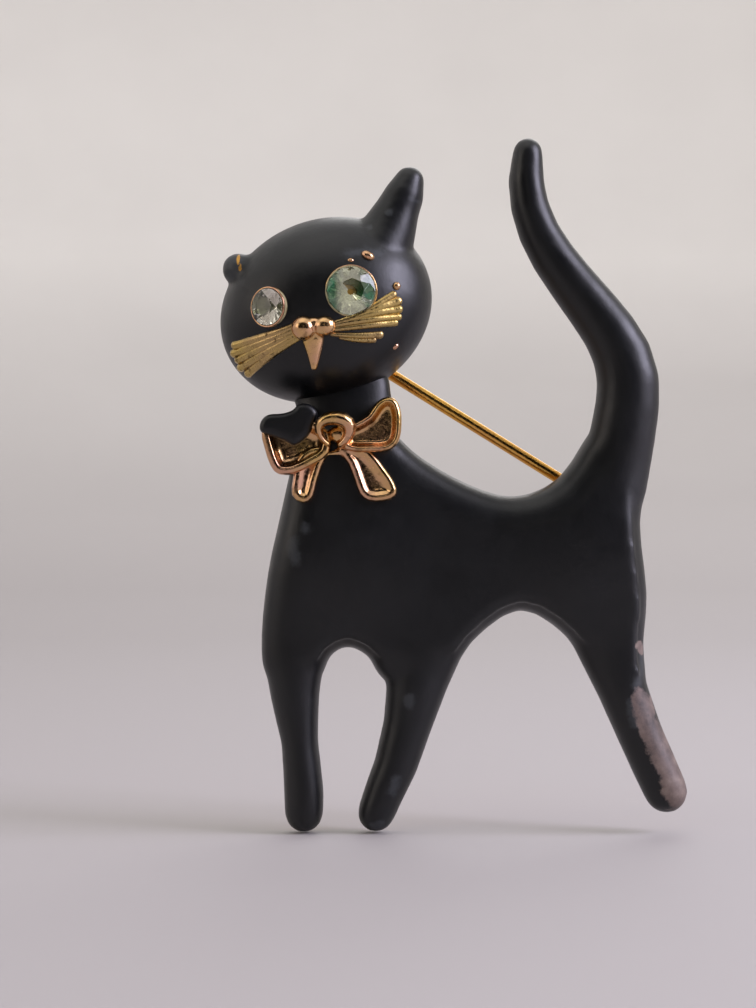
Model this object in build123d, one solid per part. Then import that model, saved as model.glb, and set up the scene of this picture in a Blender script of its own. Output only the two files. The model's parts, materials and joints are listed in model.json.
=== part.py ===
from build123d import *
from math import atan2, cos, degrees, hypot, radians, sin, sqrt
import os

# Enamelled cat brooch: a gold-plated casting with black enamel coats, two glass eye stones,
# and a hinged pin with a rollover safety catch on its back.
# Millimetres. +Z is up as the brooch is worn, the front looks along -Y, the cloth is on +Y.
# The origin is the middle of the closed pin, on the pin's own axis.

# ---- Overall sizes ----
CAT_HEIGHT = 60.0        # paws to tail tip
CAT_WIDTH = 40.2         # cheek to hind paw
BODY_DEPTH = 3.6         # back of the casting to the front of the body
HEAD_DEPTH = 6.8         # back of the casting to the front of the face
COAT = 0.15              # thickness of the enamel
ARC_POINTS = 5           # points that the outline takes round each rounded end
POINTS_PER_EDGE = 4      # the outline's curve is divided here and there, for an exact volume
BODY_EDGE_ROUND = 0.8

# ---- Hollows in the back, clear of the hinge and the catch ----
BODY_WALL = 1.5              # metal left in front of the hollow in the body
SKULL_WALL = 3.6             # and in front of the hollow in the head
CHEST_HOLLOW = ((-8.5, 24.8), 4.8)      # spot on the master and radius of each round end
FLANK_HOLLOW = ((5.8, 24.2), 2.9)
SKULL_HOLLOW = ((-13.4, 47.2), 4.2)

# ---- Outline ----
# It is drawn on a master 60 high and 40.2 wide, measured from the line of the paws
# and the middle of the width, and stretched to the sizes above.
MASTER_HEIGHT = 60.0
MASTER_WIDTH = 40.2

# ---- Pin and its findings ----
HINGE_SPOT = (-7.8, 41.2)    # on the master, behind the cheek
CATCH_SPOT = (12.2, 28.8)    # on the master, behind the root of the tail
PIN_STANDOFF = 2.3           # pin axis to the back of the casting
WIRE_RADIUS = 0.5
PIN_NECK = 3.0               # stem from the rivet to the even wire, and from there to the catch
NECK_RADIUS = 0.6            # stem where it leaves its eye
PIN_OVERHANG = 2.5           # stem beyond the middle of the catch
POINT_RADIUS = 0.12
EYE_RADIUS = 1.15            # flattened end of the stem, round the rivet
EYE_THICKNESS = 1.2
WIRE_EDGE_ROUND = 0.15       # on the edges of the stem's eye and of the thumb lever
RIVET_RADIUS = 0.45
RIVET_HEAD_RADIUS = 0.8
RIVET_HEAD = 0.3
RIVET_HEAD_ROUND = 0.18
RUNNING_CLEARANCE = 0.04
EAR_THICKNESS = 0.5
EAR_GAP_CLEARANCE = 0.06     # each side of the stem's eye
BASE_THICKNESS = 0.5
HINGE_BASE_LENGTH = 3.6
FOOT_CORNER = 0.5            # corner radius of a finding's foot
SOLDER_SPREAD = 0.4
SOLDER_HEIGHT = 0.35
SOLDER_FILM = 0.1            # solder between a finding and the casting
SOLDER_CORNER = 0.8
SOLDER_SLOPE = 0.28          # bevel round the solder's upper edge

# ---- Safety catch ----
CATCH_LENGTH = 2.4
CATCH_OUTER_RADIUS = 1.85
ROTOR_OUTER_RADIUS = 1.2
ROTOR_INNER_RADIUS = 0.62
PIN_SLOT = 1.25              # width of the way in for the pin
WINDOW_LENGTH = 1.0          # opening that the thumb lever travels in
WINDOW_START = 26.0          # degrees round the pin, 90 points away from the cat's back
WINDOW_END = 154.0
LEVER_ANGLE = 45.0           # where the lever stands while the catch is open
LEVER_WIDTH = 0.55
LEVER_REACH = 3.4
LEVER_ROOT = 0.1             # from the sleeve's bore to the root of the lever
LEVER_PLAY = 0.1             # between the lever and each side of its window
WINDOW_ROOT = 0.2            # radius that the window is cut from
CATCH_BASE_LENGTH = 3.6
CATCH_BASE_WIDTH = 3.2

# ---- Eyes ----
RIGHT_STONE_RADIUS = 2.1
LEFT_STONE_RADIUS = 1.6
STONE_SIDES = 12
TABLE_SHARE = 0.58           # of the stone's radius, as the next four are
CROWN_SHARE = 0.34
GIRDLE_SHARE = 0.08
PAVILION_SHARE = 0.8
CULET_SHARE = 0.08
SEAT_CLEARANCE = 0.05
FOIL = 0.06
EYE_MARGIN = 0.3             # bare metal round each stone
CROWN_ROOM = 1.0             # of the radius: height kept clear of raised lines above the cup
LEFT_EYE_SPOT = (-15.9, 45.1)
RIGHT_EYE_SPOT = (-9.05, 46.4)
LEFT_EYE_TURN = -32.0        # degrees about Z: this eye looks past the cheek
RIGHT_EYE_TURN = 6.0

# ---- Head ----
HEAD_SPOT = (-11.25, 45.3)
HEAD_LONG_RADIUS = 9.3
HEAD_SHORT_RADIUS = 7.7
HEAD_TILT = 23.0
EAR_DEPTH = 2.6
EAR_EDGE_ROUND = 0.6
EARS = [                     # tip, its radius, root, its radius
    ((-3.75, 56.45), 0.85, (-6.0, 50.5), 3.0),
    ((-19.25, 48.95), 0.85, (-17.0, 47.4), 2.0),
]
TRIM_RELIEF = 0.45           # how far the whiskers stand above the enamel's underside
NOSE_RADIUS = 1.1
LASH_RADIUS = 0.5

# ---- Bow ----
BOW_BACK = 1.6
BOW_LOOP_FRONT = 5.0
BOW_TAIL_FRONT = 4.6
KNOT_FRONT = 6.0
BOW_EDGE_ROUND = 0.45


def at(spot):
    """Places a point of the master outline in the brooch's own frame, seen from the front."""
    middle_x = (HINGE_SPOT[0] + CATCH_SPOT[0]) / 2
    middle_z = (HINGE_SPOT[1] + CATCH_SPOT[1]) / 2
    x = (spot[0] - middle_x) * CAT_WIDTH / MASTER_WIDTH
    z = (spot[1] - middle_z) * CAT_HEIGHT / MASTER_HEIGHT
    return (x, z)


BACK = Plane.XZ.offset(PIN_STANDOFF)     # the flat back of the casting, facing forwards
HINGE = at(HINGE_SPOT)
CATCH = at(CATCH_SPOT)
PIN_SPAN = hypot(CATCH[0] - HINGE[0], CATCH[1] - HINGE[1])
PIN_FALL = degrees(atan2(HINGE[1] - CATCH[1], CATCH[0] - HINGE[0]))
PIN_DIRECTION = (cos(radians(PIN_FALL)), 0, -sin(radians(PIN_FALL)))
# Working plane of the pin: x along the stem to its point, z away from the cat's back.
PIN_PLANE = Plane(origin=(0, 0, 0), x_dir=PIN_DIRECTION, z_dir=(0, 1, 0))
HINGE_ALONG = -PIN_SPAN / 2
CATCH_ALONG = PIN_SPAN / 2
EAR_INSIDE = EYE_THICKNESS / 2 + EAR_GAP_CLEARANCE
HINGE_WIDTH = 2 * (EAR_INSIDE + EAR_THICKNESS)

# Round ends of the cat: spot, radius, and the way each points in degrees.
ROUND_ENDS = [
    ((-13.2, 1.6), 1.6, 270),      # near front paw
    ((-7.05, 1.5), 1.5, 252),      # far front paw
    ((18.25, 3.45), 1.8, 297),     # hind paw
    ((6.15, 58.85), 1.15, 90),     # tail tip
    ((-10.4, 40.0), 3.0, 90),      # top of the neck, inside the head
]
# What joins them: the points between one round end and the next.
SIDES = [
    [(-13.8, 36.0), (-14.0, 32.0), (-15.1, 27.0), (-16.1, 22.3), (-16.65, 17.0), (-16.1, 12.3),
     (-15.0, 7.8), (-14.75, 4.3)],
    [(-11.5, 4.7), (-12.05, 8.6), (-11.8, 13.2), (-11.0, 15.3), (-9.3, 16.15), (-7.4, 15.2),
     (-6.2, 13.2), (-6.15, 9.8), (-7.1, 5.8)],
    [(-4.0, 4.1), (-2.6, 8.2), (-0.9, 12.8), (1.2, 16.4), (5.6, 19.35), (9.9, 16.9),
     (12.1, 12.5), (13.6, 8.6), (15.6, 5.1)],
    [(18.2, 8.0), (16.5, 11.9), (16.05, 15.0), (16.45, 20.5), (15.85, 26.8), (16.8, 32.0),
     (17.75, 37.4), (16.9, 41.4), (13.6, 46.2), (10.2, 50.1), (8.3, 53.2), (7.5, 56.5)],
    [(4.65, 55.5), (5.0, 52.3), (6.6, 48.8), (9.2, 45.2), (11.4, 41.6), (12.4, 38.2),
     (11.9, 34.5), (9.2, 30.5), (5.2, 28.8), (1.0, 29.9), (-3.2, 32.3), (-6.2, 35.6)],
]


def closed_outline(ends, sides, margin=0.0):
    """Face inside one smooth closed curve, `margin` outside the drawn one."""
    spots = []
    for (middle, radius, way), side in zip(ends, sides[1:] + sides[:1]):
        x, z = at(middle)
        for step in range(ARC_POINTS):
            angle = radians(way - 90 + 180 * step / (ARC_POINTS - 1))
            spots.append((x + radius * cos(angle), z + radius * sin(angle)))
        spots += [at(spot) for spot in side]
    moved = []
    for before, spot, after in zip(spots[-1:] + spots[:-1], spots, spots[1:] + spots[:1]):
        run_x = after[0] - before[0]
        run_z = after[1] - before[1]
        run = hypot(run_x, run_z)
        moved.append((spot[0] + margin * run_z / run, spot[1] - margin * run_x / run))
    curve = Spline(*moved, periodic=True)
    cuts = sorted(curve.param_at_point(Vector(*spot)) for spot in moved[1::POINTS_PER_EDGE])
    edges = [curve.trim(low, high) for low, high in zip([0.0] + cuts, cuts + [1.0])]
    return make_face(edges)


def raised(face, depth, start=0.0, edge_round=0.0):
    """Solid that stands forwards from the back plane, with its front edges rounded."""
    solid = extrude(BACK.offset(start) * face, depth - start)
    if edge_round:
        front = solid.faces().sort_by(Axis.Y)[0]
        solid = fillet(front.edges(), edge_round)
    return solid


def body_form(margin=0.0):
    """Body, legs, neck and tail in one, grown all round by `margin`."""
    outline = closed_outline(ROUND_ENDS, SIDES, margin)
    return raised(outline, BODY_DEPTH + margin, 0.0, BODY_EDGE_ROUND + margin)


def head_form(margin=0.0):
    """The domed face, one half of an egg."""
    half_sizes = (HEAD_LONG_RADIUS + margin, HEAD_DEPTH + margin, HEAD_SHORT_RADIUS + margin)
    x, z = at(HEAD_SPOT)
    egg = scale(Rot(90, 0, 0) * Sphere(1), by=half_sizes)
    egg = Pos(x, -PIN_STANDOFF, z) * Rot(0, -HEAD_TILT, 0) * egg
    reach = 3 * HEAD_LONG_RADIUS
    return egg & extrude(BACK * Pos(x, z) * Rectangle(reach, reach), reach)


def ears_form(margin=0.0):
    """Each ear tapers from a round root in the head to its tip."""
    forms = []
    for tip, tip_radius, root, root_radius in EARS:
        tip_circle = Pos(*at(tip)) * Circle(tip_radius + margin)
        root_circle = Pos(*at(root)) * Circle(root_radius + margin)
        outline = make_hull((tip_circle + root_circle).edges())
        forms.append(raised(outline, EAR_DEPTH + margin, 0.0, EAR_EDGE_ROUND + margin))
    return forms


def face_prism(spots):
    """Straight prism through the head on an outline of the face."""
    outline = make_face(Polyline(*[at(s) for s in spots], close=True))
    return extrude(BACK * outline, 2 * HEAD_DEPTH)


def face_trim():
    """Whiskers, lashes and nose, raised on the face."""
    skin = head_form(TRIM_RELIEF)
    left_whiskers = face_prism([(-13.0, 44.0), (-16.2, 43.0), (-19.3, 42.0), (-18.9, 40.6),
                                (-17.9, 39.3), (-15.8, 41.2), (-13.0, 42.4)])
    right_whiskers = face_prism([(-11.8, 44.0), (-8.0, 44.3), (-5.2, 46.2), (-4.5, 45.5),
                                 (-4.6, 44.2), (-8.0, 43.3), (-11.8, 43.0)])
    low_whisker = face_prism([(-11.0, 42.8), (-6.1, 43.1), (-5.7, 42.6), (-8.2, 42.1),
                              (-11.0, 42.2)])
    lash_spots = [(-9.2, 49.2), (-7.2, 49.3), (-5.4, 47.4)]
    trim = [prism & skin for prism in (left_whiskers, right_whiskers, low_whisker)]
    for spot in lash_spots:
        trim.append(Pos(*on_face(spot)) * Sphere(LASH_RADIUS))
    nose_left = Pos(*on_face((-13.0, 43.4))) * Sphere(NOSE_RADIUS)
    nose_right = Pos(*on_face((-11.6, 43.4))) * Sphere(NOSE_RADIUS)
    lip = face_prism([(-13.2, 42.8), (-11.2, 42.8), (-11.7, 40.2), (-12.2, 39.9),
                      (-12.7, 40.4)])
    return trim + [nose_left, nose_right, lip & skin]


def on_face(spot):
    """The point of the domed face that is seen at a spot of the master outline."""
    x, z = at(spot)
    centre_x, centre_z = at(HEAD_SPOT)
    turn = radians(HEAD_TILT)
    along = (x - centre_x) * cos(turn) + (z - centre_z) * sin(turn)
    across = (z - centre_z) * cos(turn) - (x - centre_x) * sin(turn)
    height = sqrt(max(0.0, 1 - (along / HEAD_LONG_RADIUS) ** 2 - (across / HEAD_SHORT_RADIUS) ** 2))
    return (x, -PIN_STANDOFF - HEAD_DEPTH * height, z)


def bow_form():
    """Knot, two loops and two ribbon ends."""
    left_loop = [(-11.0, 35.8), (-14.0, 36.1), (-16.3, 35.6), (-16.7, 34.6), (-15.7, 31.9),
                 (-14.9, 31.2), (-11.4, 32.6), (-10.4, 33.2)]
    right_loop = [(-9.9, 35.7), (-7.0, 36.2), (-6.3, 37.7), (-5.4, 37.9), (-4.8, 36.4),
                  (-4.8, 34.0), (-6.2, 33.1), (-9.9, 33.2)]
    left_end = [(-11.0, 33.6), (-11.6, 31.8), (-12.3, 28.6), (-13.2, 28.4), (-14.4, 29.1),
                (-13.6, 32.6)]
    right_end = [(-10.2, 33.6), (-8.7, 30.6), (-8.2, 28.8), (-7.2, 28.5), (-4.8, 28.9),
                 (-7.6, 33.2)]
    knot = [(-11.8, 35.8), (-9.2, 35.8), (-9.0, 34.2), (-9.4, 33.0), (-11.5, 33.0),
            (-12.0, 34.3)]
    fronts = [(left_loop, BOW_LOOP_FRONT), (right_loop, BOW_LOOP_FRONT),
              (left_end, BOW_TAIL_FRONT), (right_end, BOW_TAIL_FRONT), (knot, KNOT_FRONT)]
    pieces = []
    for spots, front in fronts:
        outline = make_face(Polyline(*[at(s) for s in spots], close=True))
        pieces.append(raised(outline, front, BOW_BACK, BOW_EDGE_ROUND))
    return pieces


def eye_place(spot, turn):
    """Plane in the middle of an eye's girdle, facing out of the stone."""
    facing = Vector(sin(radians(turn)), -cos(radians(turn)), 0)
    upright = Vector(0, 0, 1)
    return Plane(origin=on_face(spot), x_dir=upright.cross(facing) * -1, z_dir=facing)


def pavilion_form(radius, drop=0.0):
    """Pointed underside of a stone, or of the foil around it."""
    girdle = RegularPolygon(radius, STONE_SIDES)
    tip = RegularPolygon(radius * CULET_SHARE, STONE_SIDES)
    low = -radius * PAVILION_SHARE - drop
    return loft([Pos(0, 0, low) * tip, Pos(0, 0, -drop) * girdle], ruled=True)


def stone_form(radius):
    """Faceted glass stone: flat table, crown, girdle and a pointed pavilion."""
    table = RegularPolygon(radius * TABLE_SHARE, STONE_SIDES)
    girdle = RegularPolygon(radius, STONE_SIDES)
    band_height = radius * GIRDLE_SHARE
    crown_height = radius * CROWN_SHARE
    crown = loft([Pos(0, 0, band_height) * girdle, Pos(0, 0, crown_height) * table], ruled=True)
    return crown + extrude(girdle, band_height) + pavilion_form(radius)


def seat_form(radius):
    """Round cup that a stone is glued into, open at the girdle's upper edge."""
    depth = radius * (PAVILION_SHARE + GIRDLE_SHARE) + FOIL + SEAT_CLEARANCE
    return Pos(0, 0, radius * GIRDLE_SHARE - depth / 2) * Cylinder(radius + SEAT_CLEARANCE, depth)


def crown_room(radius):
    """Space in front of the cup, where no raised line may meet the stone's crown."""
    height = radius * CROWN_ROOM
    middle = radius * GIRDLE_SHARE + height / 2
    return Pos(0, 0, middle) * Cylinder(radius + SEAT_CLEARANCE, height)


EYES = {"left": (eye_place(LEFT_EYE_SPOT, LEFT_EYE_TURN), LEFT_STONE_RADIUS),
        "right": (eye_place(RIGHT_EYE_SPOT, RIGHT_EYE_TURN), RIGHT_STONE_RADIUS)}


def hollows():
    """Recesses in the back that save metal, clear of the hinge and the catch."""
    chest, flank, skull = [Pos(*at(spot)) * Circle(radius)
                           for spot, radius in (CHEST_HOLLOW, FLANK_HOLLOW, SKULL_HOLLOW)]
    body_recess = extrude(BACK * make_hull((chest + flank).edges()), BODY_DEPTH - BODY_WALL)
    skull_recess = extrude(BACK * skull, HEAD_DEPTH - SKULL_WALL)
    return [body_recess, skull_recess]


def solid_cat():
    """Everything that is cast in one, before the back is hollowed and the eyes are seated."""
    cat = body_form() + head_form()
    for piece in ears_form() + face_trim() + bow_form():
        cat = cat + piece
    return cat


def cat_casting(cat):
    """The casting, hollowed from the back and with a cup for each stone."""
    casting = cat
    for recess in hollows():
        casting = casting - recess
    for place, radius in EYES.values():
        casting = casting - place * seat_form(radius)
        casting = casting - place * crown_room(radius)
    return casting


def enamel_coats(cat):
    """The black coats: one over the face and ears, one over the neck, body, legs and tail."""
    skull = head_form(COAT)
    face = skull
    for ear in ears_form(COAT):
        face = face + ear
    for place, radius in EYES.values():
        face = face - place * Cylinder(radius + EYE_MARGIN, 4 * radius)
    body = body_form(COAT) - skull - cat
    return {"enamel_head": face - cat, "enamel_body": body.solids().sort_by(SortBy.VOLUME)[-1]}


def eye_parts(side):
    """Stone, the foil under it, and the cement that fills the rest of the cup."""
    place, radius = EYES[side]
    stone = stone_form(radius)
    foil = pavilion_form(radius, FOIL) - stone
    cement = seat_form(radius) - stone - foil
    return {"eye_stone_" + side: place * stone, "eye_foil_" + side: place * foil,
            "eye_cement_" + side: place * cement}


def finding_base(along, length, width):
    """Flat foot of a hinge or catch, and the solder that holds it on the casting."""
    foot_low = -PIN_STANDOFF + SOLDER_FILM
    foot = extrude(RectangleRounded(length, width, FOOT_CORNER), BASE_THICKNESS)
    foot = Pos(along, 0, foot_low) * foot
    puddle = RectangleRounded(length + 2 * SOLDER_SPREAD, width + 2 * SOLDER_SPREAD, SOLDER_CORNER)
    solder = extrude(puddle, SOLDER_HEIGHT)
    solder = chamfer(solder.faces().sort_by(Axis.Z)[-1].edges(), SOLDER_SLOPE)
    return foot, Pos(along, 0, -PIN_STANDOFF) * solder - foot


def hinge_parts():
    """Stamped hinge with two ears, its solder, and the rivet through the ears."""
    foot, solder = finding_base(HINGE_ALONG, HINGE_BASE_LENGTH, HINGE_WIDTH)
    hinge = foot
    for side in (-1, 1):
        middle = side * (EAR_INSIDE + EAR_THICKNESS / 2)
        lug = extrude(Plane.XZ.offset(-middle) * lug_outline(), EAR_THICKNESS / 2, both=True)
        hinge = hinge + Pos(HINGE_ALONG, 0, 0) * lug
    shank = Pos(HINGE_ALONG, 0, 0) * Rot(90, 0, 0) * Cylinder(RIVET_RADIUS, HINGE_WIDTH)
    hinge = hinge - shank
    rivet = shank
    for side in (-1, 1):
        head = Cylinder(RIVET_HEAD_RADIUS, RIVET_HEAD)
        outer = head.faces().sort_by(Axis.Z)[-1]
        head = fillet(outer.edges(), RIVET_HEAD_ROUND)
        place = Pos(HINGE_ALONG, side * (HINGE_WIDTH + RIVET_HEAD) / 2, 0) * Rot(-90 * side, 0, 0)
        rivet = rivet + place * head
    return {"hinge_base": hinge, "hinge_rivet": rivet, "hinge_solder": solder}


def lug_outline():
    """Ear of the hinge, from its foot to the round top over the rivet."""
    height = PIN_STANDOFF - SOLDER_FILM
    return Circle(EYE_RADIUS) + Pos(0, -height / 2) * Rectangle(2 * EYE_RADIUS, height)


def pin_stem():
    """Spring wire with a flattened eye on the rivet, drawn to a point."""
    eye = Rot(90, 0, 0) * Cylinder(EYE_RADIUS, EYE_THICKNESS)
    eye = fillet(eye.edges(), WIRE_EDGE_ROUND)
    wire_start = Plane.YZ.offset(PIN_NECK) * Circle(WIRE_RADIUS)
    wire_end = Plane.YZ.offset(PIN_SPAN - PIN_NECK) * Circle(WIRE_RADIUS)
    tip = Plane.YZ.offset(PIN_SPAN + PIN_OVERHANG) * Circle(POINT_RADIUS)
    neck = loft([Plane.YZ * Circle(NECK_RADIUS), wire_start])
    wire = extrude(wire_start, PIN_SPAN - 2 * PIN_NECK)
    point = loft([wire_end, tip])
    hole = Rot(90, 0, 0) * Cylinder(RIVET_RADIUS + RUNNING_CLEARANCE, 2 * EYE_THICKNESS)
    return Pos(HINGE_ALONG, 0, 0) * (eye + neck + wire + point - hole)


def ring_sector(outer, inner, length, start, end):
    """Part of a tube round the pin, from one angle to another."""
    tube = Circle(outer) - Circle(inner)
    reach = 3 * outer
    middle = radians((start + end) / 2)
    half = radians((end - start) / 2)
    wedge = make_face(Polyline((0, 0),
                               (reach * cos(middle - half), reach * sin(middle - half)),
                               (reach * cos(middle), reach * sin(middle)),
                               (reach * cos(middle + half), reach * sin(middle + half)), close=True))
    return extrude(Plane.YZ * (tube & wedge), length / 2, both=True)


def catch_parts():
    """Hook with a slot for the pin and a window for the lever, and the turning sleeve inside it."""
    foot, solder = finding_base(CATCH_ALONG, CATCH_BASE_LENGTH, CATCH_BASE_WIDTH)
    place = Pos(CATCH_ALONG, 0, 0)
    hook_ring = Circle(CATCH_OUTER_RADIUS) - Circle(ROTOR_OUTER_RADIUS + RUNNING_CLEARANCE)
    hook = extrude(Plane.YZ * hook_ring, CATCH_LENGTH / 2, both=True)
    way_in = Pos(0, 0, CATCH_OUTER_RADIUS) * Box(2 * CATCH_LENGTH, PIN_SLOT, 2 * CATCH_OUTER_RADIUS)
    window = ring_sector(2 * CATCH_OUTER_RADIUS, WINDOW_ROOT, WINDOW_LENGTH,
                         WINDOW_START, WINDOW_END)
    hook = place * (hook - way_in - window) + foot
    sleeve = extrude(Plane.YZ * (Circle(ROTOR_OUTER_RADIUS) - Circle(ROTOR_INNER_RADIUS)),
                     CATCH_LENGTH / 2, both=True)
    lever_low = ROTOR_INNER_RADIUS + LEVER_ROOT
    thumb = Box(WINDOW_LENGTH - 2 * LEVER_PLAY, LEVER_REACH - lever_low, LEVER_WIDTH)
    thumb = fillet(thumb.edges(), WIRE_EDGE_ROUND)
    lever = Rot(LEVER_ANGLE, 0, 0) * Pos(0, (lever_low + LEVER_REACH) / 2, 0) * thumb
    sleeve = place * (sleeve - way_in + lever)
    return {"catch_body": hook, "catch_solder": solder - hook, "catch_rotor": sleeve}


def main():
    os.makedirs("parts", exist_ok=True)
    cat = solid_cat()
    parts = {"cat_casting": cat_casting(cat), "pin_stem": PIN_PLANE * pin_stem()}
    parts.update(enamel_coats(cat))
    for side in EYES:
        parts.update(eye_parts(side))
    for name, part in {**hinge_parts(), **catch_parts()}.items():
        parts[name] = PIN_PLANE * part
    for name, part in parts.items():
        export_step(part, "parts/" + name + ".step")


if __name__ == "__main__":
    main()
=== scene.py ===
import json
import math

import bpy
from mathutils import Matrix, Vector

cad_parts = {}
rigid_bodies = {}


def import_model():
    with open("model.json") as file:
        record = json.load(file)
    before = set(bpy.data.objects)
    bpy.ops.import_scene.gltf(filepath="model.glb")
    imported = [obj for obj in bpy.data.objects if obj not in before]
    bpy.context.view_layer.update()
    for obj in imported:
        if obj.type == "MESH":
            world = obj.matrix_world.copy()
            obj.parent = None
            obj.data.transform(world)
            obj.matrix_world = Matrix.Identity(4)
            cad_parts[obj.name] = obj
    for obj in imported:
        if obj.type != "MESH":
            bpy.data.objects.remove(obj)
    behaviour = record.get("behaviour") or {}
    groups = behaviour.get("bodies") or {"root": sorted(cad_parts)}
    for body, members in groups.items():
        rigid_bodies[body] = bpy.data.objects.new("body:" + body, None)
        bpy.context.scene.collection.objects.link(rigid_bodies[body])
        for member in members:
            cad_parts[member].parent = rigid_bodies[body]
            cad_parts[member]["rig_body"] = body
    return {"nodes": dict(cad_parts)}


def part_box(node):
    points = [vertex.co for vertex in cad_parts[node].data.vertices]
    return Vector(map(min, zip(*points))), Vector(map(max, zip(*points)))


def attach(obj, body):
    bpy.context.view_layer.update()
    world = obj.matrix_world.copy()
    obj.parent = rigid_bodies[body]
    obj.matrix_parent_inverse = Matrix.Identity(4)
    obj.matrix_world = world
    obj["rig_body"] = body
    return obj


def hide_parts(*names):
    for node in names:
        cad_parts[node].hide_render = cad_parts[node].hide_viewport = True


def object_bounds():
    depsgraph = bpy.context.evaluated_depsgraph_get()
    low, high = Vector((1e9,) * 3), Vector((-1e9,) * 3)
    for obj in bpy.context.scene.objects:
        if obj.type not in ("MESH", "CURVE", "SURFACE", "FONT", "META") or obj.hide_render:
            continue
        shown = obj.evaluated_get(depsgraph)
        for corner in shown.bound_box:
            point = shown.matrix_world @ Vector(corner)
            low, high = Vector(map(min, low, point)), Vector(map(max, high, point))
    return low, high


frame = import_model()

# A cat brooch about 60 mm tall: a gold-plated casting with satin black enamel over its body,
# face and ears, two glass eye stones, a polished bow, nose and whiskers, and a hinged pin with
# a rollover catch behind. Spots on the cat are (x, z) in millimetres, from the middle of its
# width and the line of its paws. "Forward" is the height above the flat back of the casting.
MM = 0.001
for spare in [o for o in bpy.data.objects if "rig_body" not in o and o.type != "EMPTY"]:
    bpy.data.objects.remove(spare)
cad_low, cad_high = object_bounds()
casting_low, casting_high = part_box("cat_casting")
HIND_PAW_EDGE = 20.02
ACROSS = casting_high.x - HIND_PAW_EDGE * MM
PAWS = casting_low.z
BACK = casting_high.y
HOLDER = "brooch"
DOUBLES = 0.002              # points nearer than this are one


def at(x, z, forward=0.0):
    """A spot of the cat, in the frame's metres."""
    return Vector((ACROSS + x * MM, BACK - forward * MM, PAWS + z * MM))


# ---- Modelling by hand ----

def clear():
    """Leaves edit mode with nothing selected."""
    if bpy.context.mode != "OBJECT":
        bpy.ops.object.mode_set(mode="OBJECT")
    bpy.ops.object.select_all(action="DESELECT")


def begin(name):
    """Names the primitive just added and opens it with everything selected."""
    piece = bpy.context.object
    piece.name = piece.data.name = name
    bpy.ops.object.mode_set(mode="EDIT")
    bpy.ops.mesh.select_mode(type="VERT")
    bpy.ops.mesh.select_all(action="SELECT")
    return piece


def settle(piece):
    """Puts a piece's place into its mesh."""
    clear()
    piece.select_set(True)
    bpy.context.view_layer.objects.active = piece
    bpy.ops.object.transform_apply(location=True, rotation=True, scale=True)
    return piece


def pick(piece, wanted, kind="FACE"):
    """Selects, in edit mode, the faces or vertices that `wanted` says yes to."""
    bpy.ops.mesh.select_mode(type=kind)
    bpy.ops.mesh.select_all(action="DESELECT")
    bpy.ops.object.mode_set(mode="OBJECT")
    parts = piece.data.polygons if kind == "FACE" else piece.data.vertices
    for part in parts:
        part.select = bool(wanted(part))
    bpy.ops.object.mode_set(mode="EDIT")


def modify(piece, kind, **settings):
    """Adds a modifier and applies it."""
    clear()
    piece.select_set(True)
    bpy.context.view_layer.objects.active = piece
    added = piece.modifiers.new(kind.title(), kind)
    for name, value in settings.items():
        setattr(added, name, value)
    bpy.ops.object.modifier_apply(modifier=added.name)
    return piece


def copied(piece, name):
    """A second piece with a mesh of its own."""
    clear()
    piece.select_set(True)
    bpy.context.view_layer.objects.active = piece
    bpy.ops.object.duplicate()
    twin = bpy.context.object
    twin.name = twin.data.name = name
    return twin


def joined(name, pieces):
    """Several pieces made one mesh."""
    clear()
    for piece in pieces:
        piece.select_set(True)
    bpy.context.view_layer.objects.active = pieces[0]
    bpy.ops.object.join()
    whole = bpy.context.object
    whole.name = whole.data.name = name
    return whole


def smooth_shaded(piece, degrees=None):
    """Shades smooth, all over or only where faces meet flatter than an angle."""
    clear()
    piece.select_set(True)
    bpy.context.view_layer.objects.active = piece
    if degrees is None:
        bpy.ops.object.shade_smooth()
    else:
        bpy.ops.object.shade_smooth_by_angle(angle=math.radians(degrees))
    return piece


def outward(piece):
    """Merges doubles and turns every face outwards."""
    clear()
    piece.select_set(True)
    bpy.context.view_layer.objects.active = piece
    bpy.ops.object.mode_set(mode="EDIT")
    bpy.ops.mesh.select_all(action="SELECT")
    bpy.ops.mesh.remove_doubles(threshold=DOUBLES * MM)
    bpy.ops.mesh.normals_make_consistent(inside=False)
    clear()
    return piece


def turn(angle, centre):
    """Turns the selection about the axis that runs back through the cat."""
    bpy.ops.transform.rotate(value=-angle, orient_axis="Y", center_override=centre)


def limb(name, sections, sides=20, round_start=False, round_end=False):
    """Tube drawn out section by section: (x, z, half width, half depth, forward)."""
    sections = [tuple(section) for section in sections]
    if round_end:
        sections += rounding(sections[-2], sections[-1])
    if round_start:
        sections = rounding(sections[1], sections[0])[::-1] + sections
    clear()
    piece = None
    was = None
    for index, (x, z, wide, deep, forward) in enumerate(sections):
        before = sections[max(index - 1, 0)]
        after = sections[min(index + 1, len(sections) - 1)]
        heading = math.atan2(after[1] - before[1], after[0] - before[0])
        lean = math.pi / 2 - heading
        centre = at(x, z, forward)
        if piece is None:
            bpy.ops.mesh.primitive_circle_add(vertices=sides, radius=MM, location=centre)
            piece = begin(name)
            bpy.ops.mesh.edge_face_add()
            bpy.ops.transform.resize(value=(wide, deep, 1), center_override=centre)
            turn(lean, centre)
        else:
            last_centre, last_wide, last_deep, last_lean = was
            bpy.ops.mesh.extrude_region_move()
            turn(-last_lean, last_centre)
            ratios = (wide / last_wide, deep / last_deep, 1)
            bpy.ops.transform.resize(value=ratios, center_override=last_centre)
            turn(lean, last_centre)
            bpy.ops.transform.translate(value=centre - last_centre)
        was = (centre, wide, deep, lean)
    settle(piece)
    return outward(piece)


ROUNDING_STEPS = (25, 50, 72, 86)


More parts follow.
